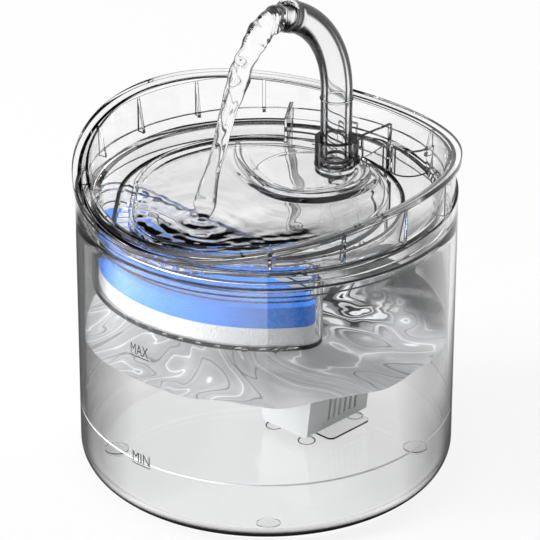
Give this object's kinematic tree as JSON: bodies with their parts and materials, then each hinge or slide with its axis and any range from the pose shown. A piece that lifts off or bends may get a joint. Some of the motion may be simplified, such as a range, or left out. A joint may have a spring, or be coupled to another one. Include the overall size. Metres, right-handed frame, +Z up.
{
  "type": "pet water fountain",
  "caption": "Clear round pet water fountain: tank with a lift-off drinking tray, hooked spout, hanging filter box and small submersible pump.",
  "frame": {"origin": "on the tank's axis, on the surface that the fountain's feet stand on", "axes": "+Z up along the tank's axis; the front, where the animal drinks, is -Y and the spout stands at the back on +Y"},
  "size_m": [0.1774, 0.1774, 0.228],
  "materials": {
    "clear_plastic": "polished clear injection-moulded plastic",
    "clear_soft": "translucent soft silicone",
    "smoke_plastic": "clear plastic that reads dark grey at its thick edge",
    "black_rubber": "matt moulded seal rubber",
    "white_cotton": "dense white wadding",
    "blue_sponge": "open-cell blue foam",
    "white_plastic": "satin white moulded plastic",
    "blue_plastic": "moulded rotor plastic",
    "ferrite": "sintered magnet with a thin coating",
    "ceramic": "polished ceramic pin",
    "core_steel": "stacked electrical steel",
    "copper_wire": "enamelled copper winding",
    "potting_resin": "cast dark resin",
    "grey_plastic": "satin grey moulded plastic"
  },
  "bodies": {
    "tank": {"tank": "clear_plastic", "tank_feet": "clear_soft"},
    "tray": {"tray_rim": "clear_plastic", "tray_bowl": "clear_plastic", "spout_collar": "clear_plastic", "filling_chute": "clear_plastic", "filter_hanger": "clear_plastic", "riser_seal": "black_rubber"},
    "spout": {"spout_pipe": "clear_plastic", "spout_nozzle": "smoke_plastic", "spout_seal": "black_rubber"},
    "filter": {"filter_box": "clear_plastic"},
    "cartridge": {"filter_cotton": "white_cotton", "filter_sponge": "blue_sponge"},
    "pump": {"pump_housing": "white_plastic", "pump_cover": "white_plastic", "impeller_chamber": "white_plastic", "chamber_seal": "black_rubber", "rotor_shaft": "ceramic", "front_bush": "black_rubber", "rear_bush": "black_rubber", "stator_core": "core_steel", "stator_coil": "copper_wire", "motor_potting": "potting_resin", "cable_gland": "white_plastic", "pump_base_plate": "clear_plastic", "suction_feet": "clear_soft", "riser_tube": "clear_plastic"},
    "rotor": {"impeller": "blue_plastic", "rotor_magnet": "ferrite"},
    "slider": {"flow_slider": "grey_plastic"}
  },
  "joints": [
    {"name": "tray_lift", "type": "slide", "parent": "tank", "child": "tray", "axis": [0, 0, 1], "range_m": [0, 0.26]},
    {"name": "spout_swivel", "type": "hinge", "parent": "tray", "child": "spout", "pos_m": [0, 0.0462, 0.1354], "axis": [0, 0, 1], "range_deg": [-45, 45]},
    {"name": "filter_drop", "type": "slide", "parent": "tray", "child": "filter", "axis": [0, 0, -1], "range_m": [0, 0.06]},
    {"name": "cartridge_rise", "type": "slide", "parent": "filter", "child": "cartridge", "axis": [0, 0, 1], "range_m": [0, 0.03]},
    {"name": "pump_lift", "type": "slide", "parent": "tank", "child": "pump", "axis": [0, 0, 1], "range_m": [0, 0.13]},
    {"name": "rotor_spin", "type": "hinge", "parent": "pump", "child": "rotor", "pos_m": [0, 0.03, 0.0245], "axis": [0, 1, 0], "continuous": true},
    {"name": "flow_slide", "type": "slide", "parent": "pump", "child": "slider", "axis": [0, 0, 1], "range_m": [0, 0.006]}
  ],
  "couplings": [
    {"joint": "pump_lift", "follows": "tray_lift", "ratio": 0.5},
    {"joint": "cartridge_rise", "follows": "filter_drop", "ratio": 0.5}
  ]
}
